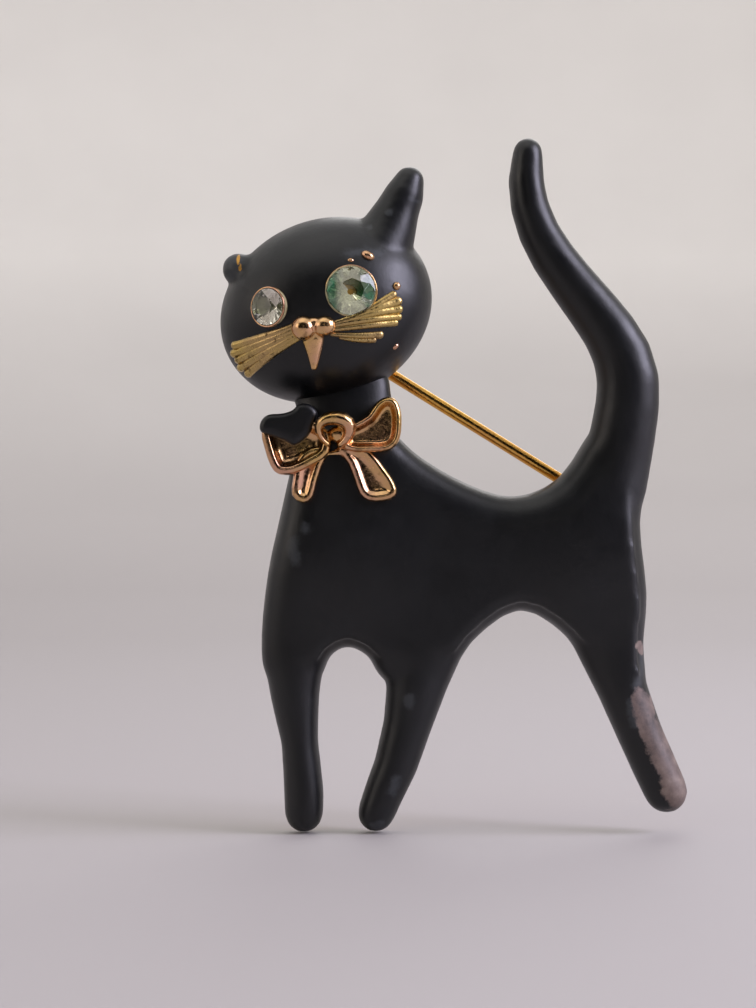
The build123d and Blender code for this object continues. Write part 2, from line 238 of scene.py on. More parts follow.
def rounding(before, last):
    """Sections that close a limb's end like the end of an egg."""
    run = math.hypot(last[0] - before[0], last[1] - before[1])
    step_x, step_z = (last[0] - before[0]) / run, (last[1] - before[1]) / run
    made = []
    for degrees in ROUNDING_STEPS:
        reach = last[2] * math.sin(math.radians(degrees))
        share = math.cos(math.radians(degrees))
        made.append((last[0] + step_x * reach, last[1] + step_z * reach,
                     last[2] * share, last[3] * share, last[4]))
    return made


def softened(points, steps):
    """Points along the smooth closed curve through an outline."""
    made = []
    count = len(points)
    for index in range(count):
        a, b, c, d = (Vector(points[(index + k) % count]) for k in (-1, 0, 1, 2))
        for step in range(steps):
            t = step / steps
            made.append(0.5 * (2 * b + (c - a) * t + (2 * a - 5 * b + 4 * c - d) * t * t
                               + (3 * b - a - 3 * c + d) * t ** 3))
    return made


def trace(name, points, forward, steps=1):
    """Flat face inside an outline that is drawn point by point."""
    if steps > 1:
        points = softened(points, steps)
    spots = [at(point[0], point[1], forward) for point in points]
    clear()
    bpy.ops.mesh.primitive_plane_add(size=MM, location=spots[0])
    piece = begin(name)
    bpy.ops.mesh.merge(type="CENTER")
    for before, spot in zip(spots, spots[1:]):
        bpy.ops.mesh.extrude_region_move(TRANSFORM_OT_translate={"value": spot - before})
    clear()
    last = len(piece.data.vertices) - 1
    bpy.ops.object.mode_set(mode="EDIT")
    pick(piece, lambda v: v.index in (0, last), "VERT")
    bpy.ops.mesh.edge_face_add()
    bpy.ops.mesh.select_all(action="SELECT")
    bpy.ops.mesh.edge_face_add()
    bpy.ops.mesh.normals_make_consistent(inside=False)
    return piece


def slab(name, points, back, front, steps=1):
    """An outline drawn out forwards into a slab. Its front face is left selected."""
    piece = trace(name, points, back, steps)
    bpy.ops.mesh.select_mode(type="FACE")
    bpy.ops.mesh.select_all(action="SELECT")
    bpy.ops.mesh.extrude_region_move(
        TRANSFORM_OT_translate={"value": (0, -(front - back) * MM, 0)})
    return piece


def step_in(thickness, forward):
    """Insets the selected front face and moves what is inside it forwards."""
    bpy.ops.mesh.inset(thickness=thickness * MM, depth=0.0, use_even_offset=True)
    bpy.ops.transform.translate(value=(0, -forward * MM, 0))


# ---- Shape of the head ----
# A spot outside the dome counts as one near its rim.
RIM_SHARE = 0.04
HEAD_X, HEAD_Z = -11.25, 45.3
HEAD_LONG, HEAD_SHORT, HEAD_DEEP = 9.3, 7.7, 6.8
HEAD_TILT = math.radians(23.0)


def dome(x, z):
    """Height of the face above the back at a spot, and how square on it is there."""
    along = (x - HEAD_X) * math.cos(HEAD_TILT) + (z - HEAD_Z) * math.sin(HEAD_TILT)
    across = (z - HEAD_Z) * math.cos(HEAD_TILT) - (x - HEAD_X) * math.sin(HEAD_TILT)
    share = math.sqrt(max(RIM_SHARE, 1 - (along / HEAD_LONG) ** 2 - (across / HEAD_SHORT) ** 2))
    slope = math.hypot(along / HEAD_LONG ** 2, across / HEAD_SHORT ** 2) * HEAD_DEEP / share
    return HEAD_DEEP * share, 1 / math.sqrt(1 + slope * slope)


# ---- Body ----
TORSO = [(-13.8, 33.9), (-14.1, 31.6), (-15.1, 27.0), (-16.1, 22.3),
         (-16.65, 17.0), (-16.3, 13.6), (-14.0, 12.2), (-11.9, 13.4), (-11.0, 15.3),
         (-9.3, 16.15), (-7.4, 15.2), (-6.3, 13.4), (-3.6, 12.2), (-1.0, 12.6), (1.2, 16.4),
         (5.6, 19.35), (9.9, 16.9), (12.1, 13.1), (14.3, 11.9), (16.3, 13.2), (16.1, 15.6),
         (16.45, 20.5), (15.85, 26.8), (16.8, 32.0), (16.9, 34.6), (14.6, 36.0), (12.3, 35.0),
         (9.2, 30.5), (5.2, 28.8), (1.0, 29.9), (-3.2, 32.3), (-5.6, 34.5), (-7.6, 35.6),
         (-10.0, 36.0), (-12.6, 35.2)]
TAIL = [(11.6, 26.0, 3.6, 1.9, 1.3), (13.6, 30.4, 3.0, 2.3, 1.4), (14.5, 34.2, 2.7, 2.4, 1.4),
        (14.95, 37.0, 2.62, 2.4, 1.4), (15.0, 39.2, 2.55, 2.4, 1.4), (14.45, 41.4, 2.4, 2.35, 1.38),
        (13.35, 43.4, 2.22, 2.3, 1.35), (11.95, 45.3, 2.08, 2.2, 1.3), (10.2, 47.5, 1.92, 2.1, 1.3),
        (8.5, 49.8, 1.78, 2.0, 1.3), (7.25, 52.0, 1.64, 1.9, 1.25), (6.45, 54.3, 1.5, 1.8, 1.2),
        (6.15, 56.5, 1.38, 1.7, 1.2), (6.3, 58.9, 1.15, 1.4, 1.2)]
NEAR_LEG = [(-13.2, 20.5, 2.6, 1.3, 1.1), (-13.7, 16.5, 2.65, 2.25, 1.3),
            (-14.0, 14.2, 2.35, 2.3, 1.3), (-13.95, 12.0, 2.0, 2.2, 1.3),
            (-13.75, 9.8, 1.7, 2.1, 1.3), (-13.5, 7.6, 1.42, 2.0, 1.3), (-13.3, 5.2, 1.5, 2.0, 1.3),
            (-13.15, 3.2, 1.56, 2.0, 1.3), (-13.15, 1.5, 1.5, 1.9, 1.3)]
FAR_LEG = [(-1.6, 19.0, 3.2, 1.3, 1.1), (-2.6, 15.8, 3.0, 2.2, 1.3), (-3.35, 12.8, 2.5, 2.3, 1.3),
           (-4.15, 9.2, 1.95, 2.1, 1.3), (-5.2, 5.6, 1.72, 2.0, 1.3), (-6.15, 3.4, 1.58, 1.9, 1.3),
           (-6.9, 1.5, 1.45, 1.8, 1.3)]
HIND_LEG = [(11.9, 21.0, 3.4, 1.3, 1.1), (13.3, 16.6, 2.9, 2.3, 1.3), (14.5, 12.3, 2.0, 2.35, 1.3),
            (16.05, 8.4, 1.8, 2.1, 1.3), (17.3, 5.6, 1.78, 2.0, 1.3), (18.3, 3.4, 1.72, 1.9, 1.3)]
NECK = [(-9.8, 30.0, 3.6, 1.7, 1.2), (-9.95, 33.6, 3.75, 2.3, 1.1), (-9.6, 36.3, 4.0, 2.0, 0.9),
        (-9.9, 38.4, 4.2, 1.7, 0.7), (-10.4, 40.5, 3.4, 1.4, 0.6)]
TORSO_BACK, TORSO_EDGE = -0.8, 1.3
SHOULDER = ((0.12, 0.75), (0.28, 0.62), (0.45, 0.42), (0.65, 0.3), (0.9, 0.2))   # in, forwards
FORM_GRAIN = 0.24
BODY_SMOOTHING = 27
HEAD_SMOOTHING = 12
SHRINKAGE = 0.2              # what smoothing takes off, given back
FRONT = 3.5                  # about how high the front of the body is
CAT_MIDDLE = 30.0
SAW = 30.0                   # half the size of the block that cuts the back flat


def torso_form():
    """Torso with a round shoulder all along its front edge."""
    piece = slab("torso", TORSO, TORSO_BACK, TORSO_EDGE, 3)
    for thickness, rise in SHOULDER:
        step_in(thickness, rise)
    bpy.ops.mesh.tris_convert_to_quads()
    settle(piece)
    return outward(piece)


def swell(piece, x, z, forward, reach):
    """Pulls the front of a form forwards round one spot, fading out at `reach`."""
    clear()
    piece.select_set(True)
    bpy.context.view_layer.objects.active = piece
    bpy.ops.object.mode_set(mode="EDIT")
    centre = at(x, z, FRONT)
    nearest = min(piece.data.vertices, key=lambda v: (v.co - centre).length).index
    pick(piece, lambda v: v.index == nearest, "VERT")
    bpy.ops.transform.translate(value=(0, -forward * MM, 0), use_proportional_edit=True,
                                proportional_edit_falloff="SMOOTH",
                                proportional_size=reach * MM)
    bpy.ops.transform.translate(value=(0, 0, 0), use_proportional_edit=False)
    bpy.context.scene.tool_settings.use_proportional_edit = False
    clear()


def cut_open(piece, forward):
    """Cuts away all that is behind a height above the back, and leaves the cut open."""
    clear()
    piece.select_set(True)
    bpy.context.view_layer.objects.active = piece
    bpy.ops.object.mode_set(mode="EDIT")
    bpy.ops.mesh.select_all(action="SELECT")
    bpy.ops.mesh.bisect(plane_co=at(0, 0, forward), plane_no=(0, 1, 0), use_fill=False,
                        clear_outer=True, clear_inner=False)
    clear()
    return piece


def sawn_flat(piece):
    """Takes off everything behind the back plane with one big block."""
    clear()
    centre = at(0, CAT_MIDDLE, -SAW)
    bpy.ops.mesh.primitive_cube_add(size=1.0, location=centre)
    block = begin("block")
    bpy.ops.transform.resize(value=(3 * SAW * MM, 2 * SAW * MM, 3 * SAW * MM),
                             center_override=centre)
    settle(block)
    return bored(piece, [block])


def melted(piece, grain, iterations):
    """Makes one skin round all that a piece holds, then softens it."""
    modify(piece, "REMESH", mode="VOXEL", voxel_size=grain * MM, adaptivity=0.0)
    return modify(piece, "SMOOTH", factor=0.5, iterations=iterations)


def merged_form(name, pieces, iterations):
    """Pieces melted into one smooth form, at their full size."""
    form = melted(joined(name, pieces), FORM_GRAIN, iterations)
    return modify(form, "DISPLACE", strength=SHRINKAGE * MM, mid_level=0.0)


def body_form():
    """Torso, tail, three legs and neck in one, with a full haunch and chest."""
    pieces = [torso_form(), limb("tail", TAIL, round_end=True),
              limb("near_leg", NEAR_LEG, round_end=True), limb("far_leg", FAR_LEG, round_end=True),
              limb("hind_leg", HIND_LEG, round_end=True), limb("neck", NECK)]
    form = merged_form("body_form", pieces, BODY_SMOOTHING)
    swell(form, 11.5, 24.0, 0.6, 9.0)       # haunch
    swell(form, -10.5, 24.0, 0.7, 9.5)      # chest and shoulder
    return form


RIGHT_EAR = [(-8.0, 48.0, 3.0, 4.2, 1.0), (-6.8, 50.2, 2.75, 3.3, 1.1), (-5.75, 52.2, 2.25, 2.5, 1.1),
             (-5.0, 54.0, 1.75, 2.0, 1.1), (-4.35, 55.45, 1.52, 1.75, 1.1), (-4.0, 56.4, 1.15, 1.4, 1.1)]
LEFT_EAR = [(-15.6, 47.2, 2.6, 2.2, 1.0), (-17.4, 48.0, 2.1, 2.0, 1.1), (-18.85, 48.75, 1.25, 1.6, 1.1)]


def head_form():
    """Domed face with its ears drawn out of it, still whole behind."""
    clear()
    centre = at(HEAD_X, HEAD_Z)
    bpy.ops.mesh.primitive_uv_sphere_add(segments=64, ring_count=32, radius=MM, location=centre)
    egg = begin("egg")
    bpy.ops.transform.resize(value=(HEAD_LONG, HEAD_DEEP, HEAD_SHORT), center_override=centre)
    turn(-HEAD_TILT, centre)
    settle(egg)
    ears = [limb("right_ear", RIGHT_EAR, round_end=True), limb("left_ear", LEFT_EAR, round_end=True)]
    return merged_form("head_form", [egg] + ears, HEAD_SMOOTHING)


# ---- Eyes ----
LEFT_EYE = {"node": "eye_stone_left", "radius": 1.6, "turn": math.radians(-32.0)}
RIGHT_EYE = {"node": "eye_stone_right", "radius": 2.1, "turn": math.radians(6.0)}
STONE_MIDDLE = 0.23          # of the radius, from a stone's middle up to its girdle
CUTTER_AHEAD = 3.0           # how far a cutter stands out in front of the stone
GLASS_CLEARANCE = 0.02
# Rings of a cut stone, from its table to its tip: corners, radius and height as shares of the
# stone's radius, and the turn of the ring in degrees.
STONE_RINGS = [(8, 0.50, 0.36, 0.0), (8, 0.80, 0.22, 22.5), (16, 1.0, 0.07, 0.0),
               (16, 1.0, 0.0, 0.0), (8, 0.55, -0.36, 22.5), (8, 0.08, -0.76, 0.0)]
FACET_EDGE = 0.02
COLLAR_WIRE = 0.08


def eye_axis(eye):
    """The way an eye looks."""
    return Vector((math.sin(eye["turn"]), -math.cos(eye["turn"]), 0))


def girdle(eye):
    """Middle of a stone's widest ring."""
    low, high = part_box(eye["node"])
    return (low + high) / 2 + eye_axis(eye) * eye["radius"] * STONE_MIDDLE * MM


def eye_turn(eye):
    """Rotation that lays a primitive square to an eye's axis."""
    return (math.radians(90), 0, eye["turn"])


def eye_cutter(eye, margin, depth):
    """Round cutter for an eye's cup."""
    clear()
    place = girdle(eye) - eye_axis(eye) * (depth - CUTTER_AHEAD) / 2 * MM
    bpy.ops.mesh.primitive_cylinder_add(vertices=48, radius=(eye["radius"] + margin) * MM,
                                        depth=(depth + CUTTER_AHEAD) * MM, location=place,
                                        rotation=eye_turn(eye))
    piece = begin("cutter")
    return settle(piece)


def bored(piece, cutters):
    """Takes each cutter out of a piece."""
    for cutter in cutters:
        modify(piece, "BOOLEAN", operation="DIFFERENCE", solver="EXACT", object=cutter)
        bpy.data.objects.remove(cutter)
    return piece


def ring_of(count, radius, height, eye, shift=0.0):
    """Ring of corners round an eye's axis, at a height above its girdle."""
    clear()
    spot = girdle(eye) + eye_axis(eye) * height * MM
    bpy.ops.mesh.primitive_circle_add(vertices=count, radius=radius * MM, location=spot,
                                      rotation=eye_turn(eye))
    piece = begin("ring")
    settle(piece)
    if shift:
        piece.rotation_mode = "QUATERNION"
        spin = Matrix.Rotation(shift, 4, eye_axis(eye))
        piece.matrix_world = Matrix.Translation(spot) @ spin @ Matrix.Translation(-spot)
        settle(piece)
    return piece


def stone(name, eye):
    """Cut glass stone: table, star and kite facets, girdle and a pointed pavilion."""
    radius = eye["radius"] - GLASS_CLEARANCE
    rings = [ring_of(count, share * radius, height * radius, eye, math.radians(shift))
             for count, share, height, shift in STONE_RINGS]
    piece = joined(name, rings)
    bpy.ops.object.mode_set(mode="EDIT")
    bpy.ops.mesh.select_all(action="SELECT")
    bpy.ops.mesh.convex_hull()
    bpy.ops.mesh.dissolve_limited(angle_limit=math.radians(1.0))
    clear()
    outward(piece)
    return modify(piece, "BEVEL", width=FACET_EDGE * MM, segments=2, limit_method="ANGLE",
                  angle_limit=math.radians(8))


def collar(name, eye):
    """Thin raised edge of metal round a stone's cup."""
    clear()
    bpy.ops.mesh.primitive_torus_add(major_radius=(eye["radius"] + 0.06) * MM,
                                     minor_radius=COLLAR_WIRE * MM,
                                     major_segments=64, minor_segments=12,
                                     location=girdle(eye) - eye_axis(eye) * 0.05 * MM,
                                     rotation=eye_turn(eye))
    return settle(begin(name))


# ---- Whiskers, lashes, nose ----

WHISKER_PARTS = 6
WHISKER_LIFT = 0.1           # middle of a whisker above the face
WHISKER_HIGH = 0.3           # half its height
STEEPEST = 0.3               # slopes past this don't make it any taller


def strand(name, start, end, start_half, end_half, bow):
    """One whisker laid over the face from `start` to `end`, arched sideways by `bow`."""
    sections = []
    for step in range(WHISKER_PARTS + 1):
        t = step / WHISKER_PARTS
        side = bow * 4 * t * (1 - t)
        run = math.hypot(end[0] - start[0], end[1] - start[1])
        x = start[0] + (end[0] - start[0]) * t - (end[1] - start[1]) / run * side
        z = start[1] + (end[1] - start[1]) * t + (end[0] - start[0]) / run * side
        height, square_on = dome(x, z)
        half = start_half + (end_half - start_half) * t
        deep = WHISKER_HIGH / max(square_on, STEEPEST)
        sections.append((x, z, half, deep, height + WHISKER_LIFT))
    return limb(name, sections, sides=12, round_start=True, round_end=True)


# Each whisker: start, end, half width at its start and end, and its sideways arch.
LEFT_STRANDS = [((-12.9, 43.75), (-19.0, 42.05), 0.3, 0.4, 0.14),
                ((-12.9, 43.5), (-19.1, 41.4), 0.3, 0.42, 0.1),
                ((-12.9, 43.25), (-18.75, 40.85), 0.3, 0.4, 0.04),
                ((-12.9, 43.0), (-18.55, 40.2), 0.3, 0.42, 0.0),
                ((-12.9, 42.8), (-17.9, 39.7), 0.3, 0.42, -0.1)]
RIGHT_STRANDS = [((-10.9, 43.45), (-5.0, 44.35), 0.3, 0.34, 0.06),
                 ((-10.4, 43.65), (-5.0, 45.0), 0.26, 0.42, 0.12),
                 ((-9.4, 43.9), (-5.1, 45.65), 0.24, 0.46, 0.1),
                 ((-8.6, 44.2), (-5.45, 46.2), 0.24, 0.36, 0.0),
                 ((-10.9, 43.1), (-5.3, 43.85), 0.24, 0.34, 0.0)]
LOW_STRANDS = [((-10.6, 42.75), (-6.6, 42.8), 0.2, 0.38, -0.1),
               ((-9.9, 42.45), (-7.1, 42.35), 0.16, 0.28, -0.1)]


def nub(name, x, z, wide, tall, lift, lean=0.0):
    """Small rounded bead on the face."""
    clear()
    centre = at(x, z, dome(x, z)[0] + lift)
    bpy.ops.mesh.primitive_uv_sphere_add(segments=32, ring_count=16, radius=MM, location=centre)
    piece = begin(name)
    bpy.ops.transform.resize(value=(wide, (wide + tall) / 2, tall), center_override=centre)
    turn(math.radians(lean), centre)
    return settle(piece)


TRIM_GRAIN = 0.09


def nose():
    """Two lobes, the bridge between them, and the lip that tapers to a point below."""
    lip_height = dome(-12.2, 42.0)[0]
    lip = [(-12.25, 43.0, 1.15, 0.75, lip_height + 0.1), (-12.2, 42.2, 0.95, 0.7, lip_height + 0.1),
           (-12.15, 41.3, 0.68, 0.62, lip_height), (-12.15, 40.5, 0.45, 0.5, lip_height - 0.15),
           (-12.15, 40.0, 0.3, 0.4, lip_height - 0.25)]
    pieces = [nub("lobe", -13.0, 43.25, 1.08, 1.05, 0.25, 20),
              nub("lobe", -11.25, 43.4, 1.0, 0.88, 0.3, -10),
              nub("bridge", -12.1, 43.6, 0.9, 0.6, 0.1),
              limb("lip", lip, sides=16, round_end=True)]
    return melted(joined("nose", pieces), TRIM_GRAIN, 4)


# ---- Bow ----
BOW_BACK = 1.6
LOOP_FRONT = 5.0
END_FRONT = 4.6
RIBBON_EDGE = 0.35           # the last of a ribbon's height, taken up by its rounded edge
RIBBON_GRAIN = 0.11
LEFT_LOOP = [(-10.9, 34.6), (-12.4, 35.6), (-14.2, 36.0), (-15.9, 35.7), (-16.7, 34.7), (-16.45, 33.2),
             (-15.9, 31.6), (-15.2, 30.9), (-13.9, 30.95), (-12.3, 31.7), (-10.9, 32.7)]
RIGHT_LOOP = [(-9.6, 34.9), (-8.6, 35.4), (-7.6, 36.0), (-7.0, 36.9), (-6.2, 37.5), (-5.3, 37.4),
              (-4.8, 36.5), (-4.7, 35.2), (-4.9, 33.8), (-5.7, 32.95), (-7.3, 32.8), (-9.6, 33.0)]
LEFT_END = [(-10.9, 33.2), (-11.5, 31.6), (-11.95, 30.2), (-12.3, 28.9), (-13.1, 28.4),
            (-14.1, 29.1), (-14.0, 30.6), (-13.7, 32.2), (-12.6, 33.2)]
RIGHT_END = [(-10.2, 33.2), (-9.3, 31.8), (-8.75, 30.4), (-8.3, 29.2), (-7.5, 28.6), (-6.2, 28.6),
             (-5.1, 29.1), (-5.3, 30.2), (-6.1, 31.4), (-7.4, 33.0), (-8.8, 33.4)]
LAP = [(-16.75, 34.55), (-16.75, 35.4), (-16.1, 36.0), (-14.9, 36.1), (-14.0, 36.4), (-13.5, 36.9),
       (-12.6, 36.9), (-11.9, 36.2), (-12.2, 35.2), (-12.7, 34.2), (-13.8, 33.35), (-14.7, 33.75),
       (-15.8, 34.15)]


def ribbon(name, points, front, rim, sink):
    """Cast ribbon: a raised rim round a face that is dished in."""
    piece = slab(name, points, BOW_BACK, front - RIBBON_EDGE, 2)
    step_in(0.12, 0.25)
    step_in(0.16, 0.1)
    step_in(rim * 0.45, 0.0)
    step_in(rim * 0.3, -sink * 0.35)
    step_in(rim * 0.3, -sink * 0.4)
    step_in(rim * 0.6, -sink * 0.25)
    settle(piece)
    return melted(outward(piece), RIBBON_GRAIN, 5)


LAP_BACK, LAP_FRONT = 1.8, 4.85
LAP_EDGE = ((0.06, 0.2), (0.12, 0.16), (0.2, 0.1), (0.3, 0.05))   # in, forwards


def lap():
    """Thick black piece, finished like the enamel, over the top of the left loop."""
    piece = slab("enamel_on_bow", LAP, LAP_BACK, LAP_FRONT, 3)
    for thickness, rise in LAP_EDGE:
        step_in(thickness, rise)
    settle(piece)
    return melted(outward(piece), RIBBON_GRAIN, 6)


KNOT_X, KNOT_Z = -10.45, 34.5


def knot():
    """Ring of ribbon that holds the loops, arched over a hollow."""
    sections = []
    for degrees in range(-60, 241, 20):
        angle = math.radians(degrees)
        x = KNOT_X + 1.3 * math.cos(angle) + 0.15 * math.sin(2 * angle)
        z = KNOT_Z + 1.2 * math.sin(angle)
        half = 0.46 + 0.16 * math.sin(angle) + 0.1 * math.cos(angle)
        sections.append((x, z, half, 0.95, 5.0 + 0.5 * math.sin(angle)))
    arch = limb("knot", sections, sides=16, round_start=True, round_end=True)
    clear()
    middle = at(-10.1, 34.35, 4.5)
    bpy.ops.mesh.primitive_uv_sphere_add(segments=24, ring_count=12, radius=MM, location=middle)
    heart = begin("heart")
    bpy.ops.transform.resize(value=(0.95, 0.8, 0.75), center_override=middle)
    settle(heart)
    return melted(joined("bow_knot", [arch, heart]), TRIM_GRAIN, 4)


# ---- Materials ----

def colour(hexed):
    """sRGB hex to linear."""
    parts = [int(hexed[i:i + 2], 16) / 255 for i in (1, 3, 5)]
    linear = [c / 12.92 if c <= 0.04045 else ((c + 0.055) / 1.055) ** 2.4 for c in parts]
    return (*linear, 1.0)


def node(tree, kind, inputs=None, stops=(), **settings):
    """Adds a node with its settings, values and links, and the stops of its colour ramp."""
    made = tree.nodes.new("ShaderNode" + kind)
    for name, value in settings.items():
        setattr(made, name, value)
    for key, value in (inputs or {}).items():
        if isinstance(value, bpy.types.NodeSocket):
            tree.links.new(value, made.inputs[key])
        else:
            made.inputs[key].default_value = value
    if stops:
        line = made.color_ramp.elements
        line[0].position, line[0].color = stops[0]
        line[1].position, line[1].color = stops[-1]
        for position, tint in stops[1:-1]:
            line.new(position).color = tint
    return made


def material(name, **values):
    """Empty material with its shader's plain values set. Returns it, its tree and its shader."""
    made = bpy.data.materials.new(name)
    made.use_nodes = True
    tree = made.node_tree
    shader = tree.nodes["Principled BSDF"]
    for key, value in values.items():
        shader.inputs[key.replace("_", " ")].default_value = value
    return made, tree, shader


def per_metre(size_mm):
    """Noise scale whose blobs are about this size."""
    return 1 / (size_mm * MM)


# Satin black enamel, brushed on thick and fired: near black with a cool bloom, faintly uneven,
# with greyed scuffs and one long patch on the hind leg where it is rubbed through.
def enamel_material():
    made, tree, shader = material("satin_black_enamel_fired", IOR=1.45,
                                  Coat_Weight=0.06, Coat_Roughness=0.3)
    spot = node(tree, "TexCoord").outputs["Object"]
    cloud = node(tree, "TexNoise", {"Vector": spot, "Scale": per_metre(7), "Detail": 3.0,
                                    "Roughness": 0.55}).outputs["Fac"]
    grain = node(tree, "TexNoise", {"Vector": spot, "Scale": per_metre(0.5), "Detail": 4.0,
                                    "Roughness": 0.6}).outputs["Fac"]
    swirl = node(tree, "TexNoise", {"Vector": spot, "Scale": per_metre(2.2), "Detail": 5.0,
                                    "Roughness": 0.65}).outputs["Fac"]

    def frayed(name, jitter, low, high):
        """Painted marks with an edge that noise frays, and nothing away from the marks."""
        amount = node(tree, "Attribute", attribute_name=name).outputs["Fac"]
        near = node(tree, "Math", {0: amount, 1: 6.0}, operation="MULTIPLY",
                    use_clamp=True).outputs[0]
        shaken = node(tree, "Math", {0: swirl, 1: 0.5}, operation="SUBTRACT").outputs[0]
        shaken = node(tree, "Math", {0: shaken, 1: near}, operation="MULTIPLY").outputs[0]
        shaken = node(tree, "Math", {0: shaken, 1: jitter, 2: amount},
                      operation="MULTIPLY_ADD").outputs[0]
        return node(tree, "MapRange", {"Value": shaken, "From Min": low, "From Max": high},
                    interpolation_type="SMOOTHSTEP").outputs["Result"]

    worn = frayed("rubbed", 1.3, 0.3, 0.5)
    scuff = frayed("scuffed", 2.2, 0.3, 0.9)
    bare = frayed("bare", 0.8, 0.4, 0.5)
    tint = node(tree, "ValToRGB", {"Fac": cloud},
                [(0.3, colour("#040507")), (0.7, colour("#0a0c10"))]).outputs["Color"]
    primer = node(tree, "ValToRGB", {"Fac": swirl},
                  [(0.3, colour("#3d3433")), (0.5, colour("#665752")),
                   (0.7, colour("#82736b"))]).outputs["Color"]
    for share, over in ((scuff, colour("#2c2f33")), (worn, primer), (bare, colour("#c2924a"))):
        tint = node(tree, "Mix", {"Factor": share, "A": tint, "B": over},
                    data_type="RGBA").outputs["Result"]
    tree.links.new(tint, shader.inputs["Base Color"])
    tree.links.new(bare, shader.inputs["Metallic"])
    rough = node(tree, "MapRange", {"Value": swirl, "From Min": 0.25, "From Max": 0.75,
                                    "To Min": 0.33, "To Max": 0.47}).outputs["Result"]
    rough = node(tree, "Math", {0: worn, 1: 0.12, 2: rough}, operation="MULTIPLY_ADD").outputs[0]
    tree.links.new(rough, shader.inputs["Roughness"])
    waves = node(tree, "Bump", {"Height": swirl, "Strength": 0.35, "Distance": 0.12 * MM})
    fine = node(tree, "Bump", {"Height": grain, "Strength": 0.25, "Distance": 0.02 * MM,
                               "Normal": waves.outputs["Normal"]})
    rubbed_in = node(tree, "Bump", {"Height": worn, "Strength": 0.5, "Distance": 0.08 * MM,
                                    "Normal": fine.outputs["Normal"]}, invert=True)
    tree.links.new(rubbed_in.outputs["Normal"], shader.inputs["Normal"])
    return made


# Gold plating on a polished casting: warm yellow mirror, drifting to rose, rippled by the cast
# surface under it, with brown tarnish left in its hollows.
def plating(name, mid, rose, dark, rough_low, rough_high, ripple_mm, tarnish):
    made, tree, shader = material(name, Metallic=1.0)
    spot = node(tree, "TexCoord").outputs["Object"]
    drift = node(tree, "TexNoise", {"Vector": spot, "Scale": per_metre(4),
                                    "Detail": 3.0}).outputs["Fac"]
    ripple = node(tree, "TexNoise", {"Vector": spot, "Scale": per_metre(ripple_mm), "Detail": 4.0,
                                     "Roughness": 0.6}).outputs["Fac"]
    specks = node(tree, "TexNoise", {"Vector": spot, "Scale": per_metre(0.25),
                                     "Detail": 3.0}).outputs["Fac"]
    gold = node(tree, "ValToRGB", {"Fac": drift},
                [(0.35, colour(mid)), (0.65, colour(rose))]).outputs["Color"]
    dirt = node(tree, "MapRange", {"Value": ripple, "From Min": 0.56, "From Max": 0.74,
                                   "To Min": 0.0, "To Max": tarnish},
                interpolation_type="SMOOTHSTEP").outputs["Result"]
    tint = node(tree, "Mix", {"Factor": dirt, "A": gold, "B": colour(dark)}, data_type="RGBA")
    tree.links.new(tint.outputs["Result"], shader.inputs["Base Color"])
    rough = node(tree, "MapRange", {"Value": specks, "From Min": 0.3, "From Max": 0.7,
                                    "To Min": rough_low, "To Max": rough_high})
    tree.links.new(rough.outputs["Result"], shader.inputs["Roughness"])
    waves = node(tree, "Bump", {"Height": ripple, "Strength": 0.4, "Distance": 0.12 * MM})
    fine = node(tree, "Bump", {"Height": specks, "Strength": 0.15, "Distance": 0.015 * MM,
                               "Normal": waves.outputs["Normal"]})
    tree.links.new(fine.outputs["Normal"], shader.inputs["Normal"])
    return made


# Cut glass over foil: hard gloss with fine handling scratches, tinted deep on one side of its
# crown and painted pale on the other and behind. The pale side and the pavilion are a painted reflection
# of the silvery foil; the deep side is the glass's own colour, as seen through its depth.
def glass(name, painted_reflection_tint, deep_tint, edge, edge_width):
    made, tree, shader = material(name, IOR=1.52, Transmission_Weight=1.0)
    spot = node(tree, "TexCoord").outputs["Object"]
    along = node(tree, "SeparateXYZ", {"Vector": spot})
    # Painted reflection: the crown turns pale past a line across it, and is pale all behind the girdle,
    # standing in for the foil's silvery reflection.
    pale = node(tree, "MapRange", {"Value": along.outputs["X"],
                                   "From Min": edge.x - edge_width / 2,
                                   "From Max": edge.x + edge_width / 2},
                interpolation_type="SMOOTHSTEP").outputs["Result"]
    behind = node(tree, "Math", {0: along.outputs["Y"], 1: edge.y},
                  operation="GREATER_THAN").outputs[0]
    pale = node(tree, "Math", {0: pale, 1: behind}, operation="MAXIMUM").outputs[0]
    tint = node(tree, "Mix", {"Factor": pale, "A": colour(deep_tint), "B": colour(painted_reflection_tint)},
                data_type="RGBA").outputs["Result"]
    cloud = node(tree, "TexNoise", {"Vector": spot, "Scale": per_metre(0.9),
                                    "Detail": 2.0}).outputs["Fac"]
    haze = node(tree, "MapRange", {"Value": cloud, "From Min": 0.4, "From Max": 0.7,
                                   "To Min": 0.0, "To Max": 0.1}).outputs["Result"]
    tint = node(tree, "Mix", {"Factor": haze, "A": tint, "B": colour("#8f9a86")},
                data_type="RGBA").outputs["Result"]
    tree.links.new(tint, shader.inputs["Base Color"])
    scratch = node(tree, "TexNoise", {"Vector": spot, "Scale": per_metre(0.3),
                                      "Detail": 3.0}).outputs["Fac"]
    rough = node(tree, "MapRange", {"Value": scratch, "From Min": 0.45, "From Max": 0.75,
                                    "To Min": 0.0, "To Max": 0.05}).outputs["Result"]
    tree.links.new(rough, shader.inputs["Roughness"])
    return made


# Epoxy cement, poured: pale amber film, dull.
def cement_material():
    made, tree, shader = material("epoxy_cement_poured", Roughness=0.5)
    spot = node(tree, "TexCoord").outputs["Object"]
    cloud = node(tree, "TexNoise", {"Vector": spot, "Scale": per_metre(0.6), "Detail": 3.0})
    amber = node(tree, "ValToRGB", {"Fac": cloud.outputs["Fac"]},
                 [(0.3, colour("#8f8461")), (0.7, colour("#b3a983"))])
    tree.links.new(amber.outputs["Color"], shader.inputs["Base Color"])
    return made


# ---- Wear, painted on the mesh ----
WRAPPING_STROKE = 1.25


